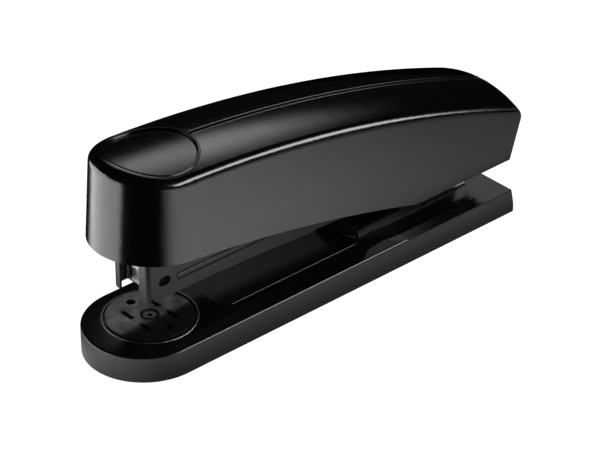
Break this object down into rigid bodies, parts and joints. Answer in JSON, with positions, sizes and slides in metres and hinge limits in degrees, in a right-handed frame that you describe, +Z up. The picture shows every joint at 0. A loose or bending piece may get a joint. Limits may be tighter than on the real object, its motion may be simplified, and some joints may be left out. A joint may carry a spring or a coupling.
{
  "type": "stapler",
  "caption": "Long black desk stapler: rounded base with turning anvil, open-fronted staple magazine, and a curved hinged handle with a top groove and a round thumb dish.",
  "frame": {"origin": "middle of the overall footprint, on the desk plane", "axes": "+X from the nose to the rear, +Z up, Y across; symmetric about Y = 0 apart from the magazine's front tabs"},
  "size_m": [0.1526, 0.037, 0.0648],
  "materials": {
    "base_enamel": "semi-gloss black enamel over cast metal",
    "base_cover_plastic": "satin",
    "feet_rubber": "matte",
    "button_steel": "satin",
    "spring_steel": "satin",
    "anvil_dark_steel": "satin dark",
    "bracket_steel": "satin",
    "zinc_steel": "satin",
    "magazine_black_steel": "semi-gloss",
    "moulded_black": "satin",
    "rail_steel": "satin",
    "staple_wire": "bright",
    "handle_enamel": "gloss black",
    "thumb_pad_soft": "soft satin",
    "blade_steel": "ground"
  },
  "bodies": {
    "base": {"base_shell": "base_enamel", "base_cover": "base_cover_plastic", "rubber_feet": "feet_rubber", "hinge_bracket": "bracket_steel", "bracket_screws": "zinc_steel", "hinge_pin": "zinc_steel", "lift_spring": "spring_steel", "anvil_spring": "spring_steel"},
    "anvil_carrier": {"anvil_button": "button_steel", "anvil_pin": "anvil_dark_steel"},
    "anvil": {"anvil_plate": "anvil_dark_steel"},
    "magazine": {"magazine_channel": "magazine_black_steel", "side_liners": "moulded_black", "staple_rail": "rail_steel", "rail_pins": "zinc_steel", "staple_strip": "staple_wire", "guide_rod": "zinc_steel", "rod_support": "bracket_steel", "rod_holder": "moulded_black", "pusher_spring": "spring_steel", "handle_spring": "spring_steel"},
    "follower": {"pusher": "moulded_black"},
    "handle": {"handle_shell": "handle_enamel", "thumb_pad": "thumb_pad_soft", "handle_frame": "bracket_steel", "frame_screws": "zinc_steel", "driver_blade": "blade_steel", "driver_rivets": "zinc_steel", "pin_clips": "spring_steel"}
  },
  "joints": [
    {"name": "magazine_hinge", "type": "hinge", "parent": "base", "child": "magazine", "pos_m": [0.05288, 0, 0.0215], "axis": [0, 1, 0], "range_deg": [-4, 0], "stiffness_Nm_per_rad": 1.5, "springref_deg": 14.32, "deforming": ["lift_spring"]},
    {"name": "handle_hinge", "type": "hinge", "parent": "magazine", "child": "handle", "pos_m": [0.05288, 0, 0.0215], "axis": [0, 1, 0], "range_deg": [-4.3, 38], "stiffness_Nm_per_rad": 1.2, "springref_deg": 3.44, "deforming": ["handle_spring"]},
    {"name": "pusher_slide", "type": "slide", "parent": "magazine", "child": "follower", "axis": [1, 0, 0], "range_m": [0, 0.024], "stiffness_N_per_m": 30, "springref_m": -0.02, "deforming": ["pusher_spring"]},
    {"name": "anvil_lift", "type": "slide", "parent": "base", "child": "anvil_carrier", "axis": [0, 0, 1], "range_m": [0, 0.001], "stiffness_N_per_m": 500, "springref_m": -0.002, "deforming": ["anvil_spring"]},
    {"name": "anvil_turn", "type": "hinge", "parent": "anvil_carrier", "child": "anvil", "pos_m": [-0.05602, 0, 0.0079], "axis": [0, 0, 1], "range_deg": [0, 180]}
  ]
}
